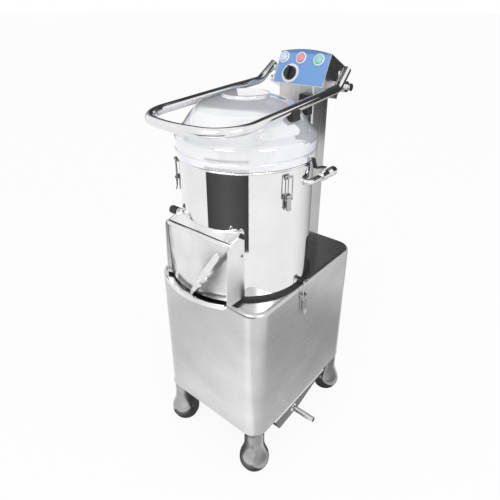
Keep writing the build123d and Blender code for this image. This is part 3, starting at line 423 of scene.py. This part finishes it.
def rolled_edge(half_width, inner_r, outer_r, start, end, steps=25):
    """Sheet bent about the rod between two angles in degrees: y = -r cos a, z = r sin a, out along
    its outer face and back along its inner face. Both ends in X close on the middle radius."""
    turn = np.radians(np.linspace(start, end, steps))
    turn = np.concatenate([turn, turn[::-1]])
    faces = np.repeat([outer_r, inner_r], steps)
    middle = np.full(2 * steps, (inner_r + outer_r) / 2)
    r = np.stack([middle, faces, faces, middle])
    x = half_width * np.array([-1, -1, 1, 1])[:, None]
    return np.stack([x + 0 * r, rod_y - r * np.cos(turn), rod_z + r * np.sin(turn)], axis=-1)


roof_roll = surface("roof_roll", rolled_edge(half_width=0.1155, inner_r=0.0058, outer_r=0.0067,
                                             start=50, end=182))
fit(roof_roll, "machine", "drum_steel", chute_sheet)
screw_place = np.array([0.118, -0.1593, 0.7753])
screw_side = softened([(0.0, -0.0002), (0.0042, -0.0002), (0.0042, 0.0008), (0.0026, 0.0022),
                       (0.0, 0.0024)], bend=0.001)
right_screw = screw_place + turned(screw_side, steps=32)[..., [2, 0, 1]]
left_screw = right_screw * np.array([-1, 1, 1])
cheek_screws = surface("cheek_screws", right_screw, left_screw)
dark_steel = steel("dark_steel", dark=(0.16, 0.16, 0.17), light=(0.26, 0.26, 0.27),
                   rough=(0.25, 0.4), grain=(300, 300, 300), relief=0.00002)
fit(cheek_screws, "machine", "fitting_chrome", dark_steel)


# Water inlet: chromed brass elbow through the top ring, a ball valve with a black strip handle,
# and a tail for the hose, screwed together.
plated_brass = bright_metal("plated_brass", dark=(0.74, 0.74, 0.75), light=(0.84, 0.84, 0.85),
                            rough=(0.05, 0.12))
dress(plated_brass, "water_pipe", "valve_body", "hose_tail")
dress(black_plastic, "valve_lever")


# Peel tray: folded sheet trough that slides on two brushed rails under the pan. Its outer edge is
# beaded, and its drain pipe goes through the outer wall.
tray_sheet = steel("tray_sheet", dark=(0.12, 0.12, 0.123), light=(0.22, 0.22, 0.224),
                   rough=(0.22, 0.34), grain=(6, 900, 900), relief=0.00003)
dress(tray_sheet, "peel_tray")
dress(brushed_sheet, "tray_rails")
dress(bright_tube, "drain_spigot")
bead_x, bead_z = 0.1978, 0.1522
# Corners of the bead from one end to the other: radius and place along Y.
bead_side = np.array([(0.0, -0.0985), (0.0036, -0.0985), (0.0043, -0.0970), (0.0043, 0.2020),
                      (0.0036, 0.2035), (0.0, 0.2035)])
tray_bead = surface("tray_bead", turned(bead_side, steps=24)[..., [0, 2, 1]]
                    + np.array([bead_x, 0, bead_z]))
fit(tray_bead, "tray", "drum_steel", bright_tube)


# Stage: white floor and backdrop, and two soft lamps. Dark flags stand around the machine and
# grey and light cards lie above it and on the floor, where only reflections see them.
def stage_sheet(name, corners, quads, shares):
    """Stage piece over its corners and quads, with each corner's share of the way as U."""
    mesh = bpy.data.meshes.new(name)
    mesh.from_pydata(corners.tolist(), [], quads.tolist())
    u = np.asarray(shares, float)[quads.reshape(-1)]
    mesh.uv_layers.new(name="way").data.foreach_set("uv", np.column_stack([u, 0 * u]).reshape(-1))
    sheet = bpy.data.objects.new(name, mesh)
    bpy.context.scene.collection.objects.link(sheet)
    return sheet


def upright_arc(name, start, end, low, high, radius=1.0, steps=49):
    """Part of an upright cylinder about the drum between two angles in degrees:
    x = R sin a, y = R cos a, with U running along the arc."""
    turn = np.radians(np.linspace(start, end, steps))
    rim = np.stack([radius * np.sin(turn), radius * np.cos(turn)], axis=1)
    corners = np.vstack([np.column_stack([rim, np.full(steps, low)]),
                         np.column_stack([rim, np.full(steps, high)])])
    first = np.arange(steps - 1)
    quads = np.stack([first, first + 1, first + steps + 1, first + steps], axis=1)
    return stage_sheet(name, corners, quads, np.tile(np.linspace(0, 1, steps), 2))


def level_card(name, near, far, height, run):
    """Level card between two corners at a height, with U running from near to far along X or Y."""
    corners = np.array([(near[0], near[1], height), (far[0], near[1], height),
                        (far[0], far[1], height), (near[0], far[1], height)])
    return stage_sheet(name, corners, np.array([[0, 1, 2, 3]]),
                       [0, 1, 1, 0] if run == "x" else [0, 0, 1, 1])


def reflected_only(sheet, greys):
    """Greys the sheet by (share of the way, grey), and shows it to glossy rays alone."""
    material, nodes, links, shader = plain_finish(sheet.name)
    nodes.remove(shader)
    way = nodes.new("ShaderNodeUVMap")
    way.uv_map = "way"
    parts = nodes.new("ShaderNodeSeparateXYZ")
    ramp = nodes.new("ShaderNodeValToRGB")
    for index, (share, grey) in enumerate(greys):
        if index > 1:
            ramp.color_ramp.elements.new(share)
        ramp.color_ramp.elements[index].position = share
        ramp.color_ramp.elements[index].color = (grey, grey, grey, 1)
    glow = nodes.new("ShaderNodeEmission")
    links.new(way.outputs["UV"], parts.inputs["Vector"])
    links.new(parts.outputs["X"], ramp.inputs["Fac"])
    links.new(ramp.outputs["Color"], glow.inputs["Color"])
    links.new(glow.outputs["Emission"], nodes["Material Output"].inputs["Surface"])
    sheet.data.materials.append(material)
    sheet.visible_camera = False
    sheet.visible_diffuse = False
    sheet.visible_transmission = False
    sheet.visible_volume_scatter = False
    sheet.visible_shadow = False


# Each flag's first and last angle from +Y over +X, its lower and upper edge, and its greys.
flags = {
    "front_flag": (136.5, 203, 0.31, 0.715,
                   [(0.0, 0.05), (0.12, 0.075), (0.5, 0.105), (0.85, 0.075), (1.0, 0.055)]),
    "left_flag": (-62, -44, 0.02, 0.8, [(0.0, 0.12), (1.0, 0.3)]),
    "low_back_flag": (-30, 62, 0.02, 0.8,
                      [(0.0, 0.10), (0.2, 0.17), (0.38, 0.42), (0.5, 0.58), (0.62, 0.74),
                       (0.8, 0.9), (1.0, 1.0)]),
    "high_left_flag": (-92, -43, 0.8, 1.95,
                       [(0.0, 1.0), (0.3, 0.3), (0.5, 0.05), (0.9, 0.04), (1.0, 0.1)]),
    "high_middle_flag": (-43, -26, 1.52, 1.95, [(0.0, 0.08), (1.0, 0.06)]),
    "high_back_flag": (-26, 33, 0.8, 1.95, [(0.0, 0.22), (0.25, 0.08), (1.0, 0.04)]),
    "box_flag": (33, 48, 0.97, 1.4, [(0.0, 0.04), (1.0, 0.12)]),
}
for name, (start, end, low, high, greys) in flags.items():
    reflected_only(upright_arc(name, start, end, low, high), greys)

# Each card's near and far corner, its height, the axis along which it changes, and its greys.
cards = {
    "top_card": ((-1.0, 0.15), (0.35, 1.1), 1.95, "y", [(0.0, 0.45), (0.3, 0.06), (1.0, 0.05)]),
    # The dark card under the machine is painted shadow: it puts the machine's shadow on the floor
    # back into the reflections.
    "painted_shadow_card": ((-0.21, -0.27), (0.22, 0.36), 0.001, "y",
                   [(0.0, 0.55), (0.1, 0.14), (1.0, 0.1)]),
    "right_card": ((0.27, -0.45), (0.86, 1.05), 0.002, "y",
                   [(0.0, 1.0), (0.25, 0.74), (0.5, 0.5), (0.7, 0.42), (0.9, 0.6), (1.0, 1.0)]),
    "front_card": ((-0.75, -1.1), (0.3, -0.28), 0.002, "x",
                   [(0.0, 0.9), (0.35, 0.92), (0.65, 1.2), (0.85, 1.35), (1.0, 1.35)]),
}
for name, (near, far, height, run, greys) in cards.items():
    reflected_only(level_card(name, near, far, height, run), greys)


def seen_ray(nodes, links):
    """1 for what is seen straight, in a reflection or through glass, and 0 for what gives light:
    the greatest of Light Path's camera, glossy and transmission values."""
    path = nodes.new("ShaderNodeLightPath")
    seen = path.outputs["Is Camera Ray"]
    for ray in ("Is Glossy Ray", "Is Transmission Ray"):
        greater = nodes.new("ShaderNodeMath")
        greater.operation = "MAXIMUM"
        links.new(seen, greater.inputs[0])
        links.new(path.outputs[ray], greater.inputs[1])
        seen = greater.outputs["Value"]
    return seen


floor_half = 90
floor_white = 0.92
floor = level_card("floor", (-floor_half, -floor_half), (floor_half, floor_half), 0, "x")
floor_finish, nodes, links, shader = plain_finish("floor_finish")
shader.inputs["Base Color"].default_value = (0.9, 0.9, 0.9, 1)
shader.inputs["Roughness"].default_value = 0.9
glow = nodes.new("ShaderNodeEmission")
white_share = nodes.new("ShaderNodeMath")
white_share.operation = "MULTIPLY"
white_share.inputs[1].default_value = floor_white
blend = nodes.new("ShaderNodeMixShader")
links.new(seen_ray(nodes, links), white_share.inputs[0])
links.new(white_share.outputs["Value"], blend.inputs["Fac"])
links.new(shader.outputs["BSDF"], blend.inputs[1])
links.new(glow.outputs["Emission"], blend.inputs[2])
links.new(blend.outputs["Shader"], nodes["Material Output"].inputs["Surface"])
floor.data.materials.append(floor_finish)

studio = bpy.data.worlds.new("studio")
bpy.context.scene.world = studio
studio.use_nodes = True
nodes, links = studio.node_tree.nodes, studio.node_tree.links
room = nodes["Background"]
room.inputs["Color"].default_value = (1, 1, 1, 1)
room.inputs["Strength"].default_value = 0.72
backdrop = nodes.new("ShaderNodeBackground")
backdrop.inputs["Color"].default_value = (1, 1, 1, 1)
blend = nodes.new("ShaderNodeMixShader")
links.new(seen_ray(nodes, links), blend.inputs["Fac"])
links.new(room.outputs["Background"], blend.inputs[1])
links.new(backdrop.outputs["Background"], blend.inputs[2])
links.new(blend.outputs["Shader"], nodes["World Output"].inputs["Surface"])


def soft_lamp(name, place, target, size, power):
    """Square studio lamp that faces a point."""
    data = bpy.data.lights.new(name, "AREA")
    data.size = size
    data.energy = power
    lamp = bpy.data.objects.new(name, data)
    bpy.context.scene.collection.objects.link(lamp)
    lamp.location = place
    towards = np.array(target) - np.array(place)
    level = math.hypot(towards[0], towards[1])
    lamp.rotation_euler = (math.atan2(level, -towards[2]), 0, math.atan2(-towards[0], towards[1]))


lamp_target = (0, 0, 0.7)
soft_lamp("front_lamp", (0.3, -2.6, 2.7), lamp_target, size=1.6, power=24)
soft_lamp("right_lamp", (2.6, -0.8, 2.2), lamp_target, size=1.2, power=15)

camera_data = bpy.data.cameras.new("camera")
camera_data.sensor_width = 36
camera_data.lens = 31.76
camera_data.shift_y = -0.06
camera = bpy.data.objects.new("camera", camera_data)
camera.location = (0.7726, -0.9185, 1.3701)
camera.rotation_euler = (math.radians(63.98), 0, math.radians(39.56))
bpy.context.scene.collection.objects.link(camera)
bpy.context.scene.camera = camera
bpy.context.scene.view_settings.view_transform = "Standard"
